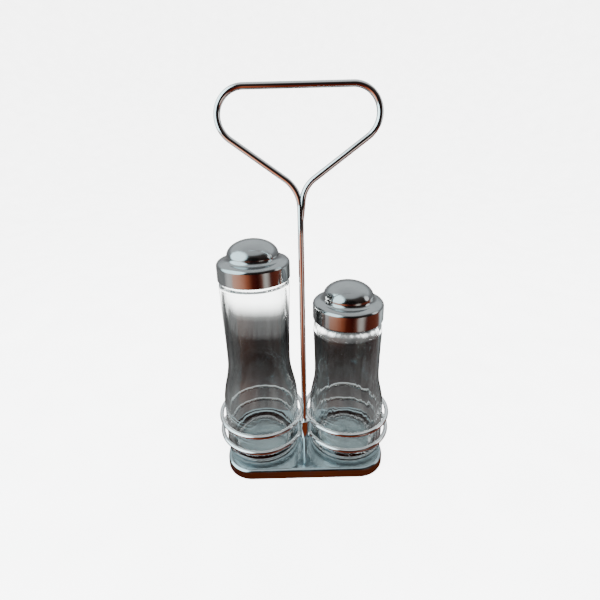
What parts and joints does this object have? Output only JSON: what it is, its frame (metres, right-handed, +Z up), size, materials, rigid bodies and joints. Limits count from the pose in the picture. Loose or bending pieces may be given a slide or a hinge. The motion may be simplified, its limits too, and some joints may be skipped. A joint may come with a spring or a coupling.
{
  "type": "cruet set",
  "caption": "Chromed wire stand with a carrying loop, a pressed tray and ring holders for a tall and a short waisted glass jar, each with a domed screw cap.",
  "frame": {"origin": "on the table, midway between the two jars", "axes": "+X from the tall jar to the short jar, -Y towards the front of the set, +Z up"},
  "size_m": [0.1176, 0.0604, 0.2384],
  "materials": {
    "wire_chrome": "bright chrome plate on drawn steel wire",
    "tray_chrome": "bright chrome plate on pressed steel sheet",
    "cap_chrome": "polished, fine drawing lines",
    "zinc_fastener": "zinc plated, dull",
    "jar_glass": "clear pressed soda-lime glass",
    "liner_plastic": "moulded polypropylene",
    "plug_plastic": "moulded polyethylene, slightly waxy",
    "seal_foam": "closed-cell foam sheet"
  },
  "bodies": {
    "stand": {"base_tray": "tray_chrome", "handle_wire": "wire_chrome", "ring_collar": "wire_chrome", "post_washer": "zinc_fastener", "post_nut": "zinc_fastener", "tall_ring_lower": "wire_chrome", "tall_ring_upper": "wire_chrome", "short_ring_lower": "wire_chrome", "short_ring_upper": "wire_chrome"},
    "tall_jar": {"tall_glass": "jar_glass", "tall_pourer_plug": "plug_plastic"},
    "tall_seal": {"tall_cap_seal": "seal_foam"},
    "tall_cap": {"tall_cap_shell": "cap_chrome", "tall_cap_liner": "liner_plastic"},
    "short_jar": {"short_glass": "jar_glass", "short_sifter_plug": "plug_plastic"},
    "short_seal": {"short_cap_seal": "seal_foam"},
    "short_cap": {"short_cap_shell": "cap_chrome", "short_cap_liner": "liner_plastic"}
  },
  "joints": [
    {"name": "tall_jar_lift", "type": "slide", "parent": "stand", "child": "tall_jar", "axis": [0, 0, 1], "range_m": [0, 0.04]},
    {"name": "tall_cap_rise", "type": "slide", "parent": "tall_jar", "child": "tall_seal", "axis": [0, 0, 1], "range_m": [0, 0.0041]},
    {"name": "tall_cap_turn", "type": "hinge", "parent": "tall_seal", "child": "tall_cap", "pos_m": [-0.0294, 0, 0.1311], "axis": [0, 0, 1], "range_deg": [0, 400]},
    {"name": "short_jar_lift", "type": "slide", "parent": "stand", "child": "short_jar", "axis": [0, 0, 1], "range_m": [0, 0.04]},
    {"name": "short_cap_rise", "type": "slide", "parent": "short_jar", "child": "short_seal", "axis": [0, 0, 1], "range_m": [0, 0.0041]},
    {"name": "short_cap_turn", "type": "hinge", "parent": "short_seal", "child": "short_cap", "pos_m": [0.0294, 0, 0.1025], "axis": [0, 0, 1], "range_deg": [0, 400]}
  ],
  "couplings": [
    {"joint": "tall_cap_rise", "follows": "tall_cap_turn", "m_per_rad": 0.00057296},
    {"joint": "short_cap_rise", "follows": "short_cap_turn", "m_per_rad": 0.00057296}
  ]
}
